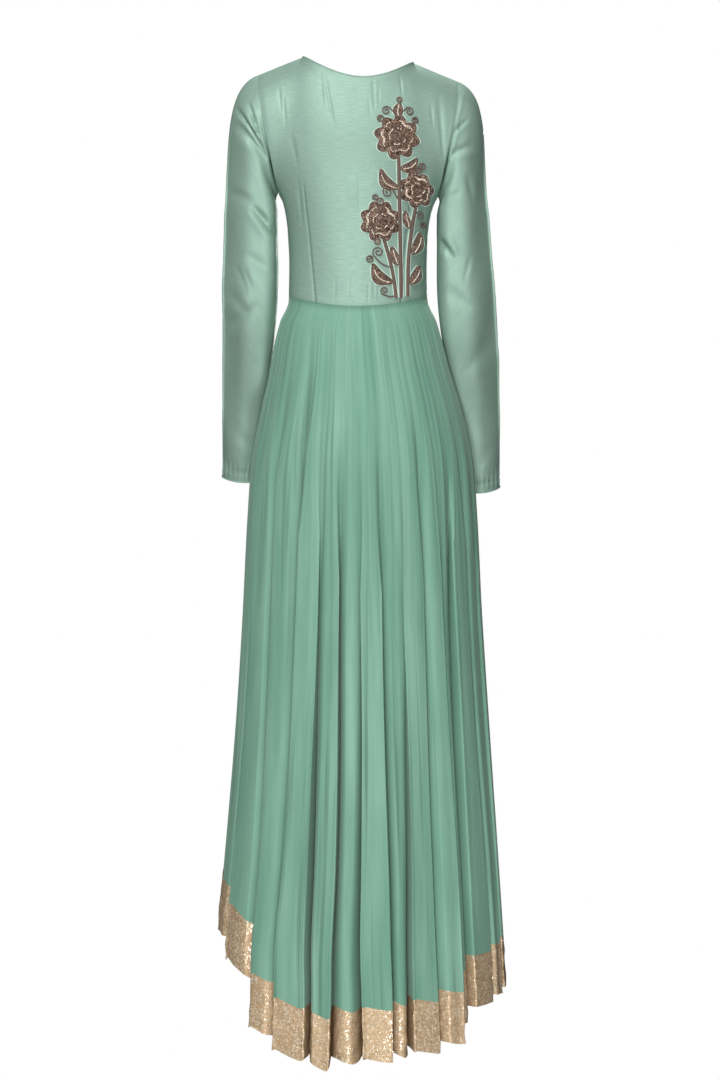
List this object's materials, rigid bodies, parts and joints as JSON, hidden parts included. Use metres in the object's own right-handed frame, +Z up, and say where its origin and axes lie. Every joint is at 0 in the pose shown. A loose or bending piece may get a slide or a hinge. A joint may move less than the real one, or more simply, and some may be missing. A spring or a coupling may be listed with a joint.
{
  "type": "asymmetric dress",
  "caption": "Long-sleeved floor-length gown with a fitted silk bodice, a finely gathered skirt, an uneven hem with a gold band and an embroidered back.",
  "frame": {"origin": "where the wearer's shoulders carry the gown: in the middle between the two neck points of the shoulder seams, at their mean height", "axes": "+Z up, from the hem to the neck; +Y towards the front of the gown, so that its back faces -Y; +X towards the wearer's right"},
  "size_m": [0.4364, 0.3894, 1.5069],
  "materials": {
    "mint_silk": "soft satin sheen, slubbed weave",
    "sea_green_georgette": "matte crepe-like georgette",
    "gold_tissue": "crushed metallic tissue",
    "brown_thread": "raised metallic thread and beads"
  },
  "bodies": {
    "root": {"bodice_back": "mint_silk", "bodice_front": "mint_silk", "sleeve_left": "mint_silk", "sleeve_right": "mint_silk", "skirt_back": "sea_green_georgette", "skirt_front": "sea_green_georgette", "gold_band_back": "gold_tissue", "gold_band_front": "gold_tissue", "embroidered_blossom_top": "brown_thread", "embroidered_blossom_side": "brown_thread", "embroidered_blossom_low": "brown_thread", "embroidered_leaf_1": "brown_thread", "embroidered_leaf_2": "brown_thread", "embroidered_leaf_3": "brown_thread", "embroidered_leaf_4": "brown_thread", "embroidered_leaf_5": "brown_thread", "embroidered_leaf_6": "brown_thread", "embroidered_leaf_7": "brown_thread", "embroidered_bud": "brown_thread", "embroidered_stem_top": "brown_thread", "embroidered_stem_side": "brown_thread", "embroidered_stem_low": "brown_thread"}
  },
  "joints": []
}
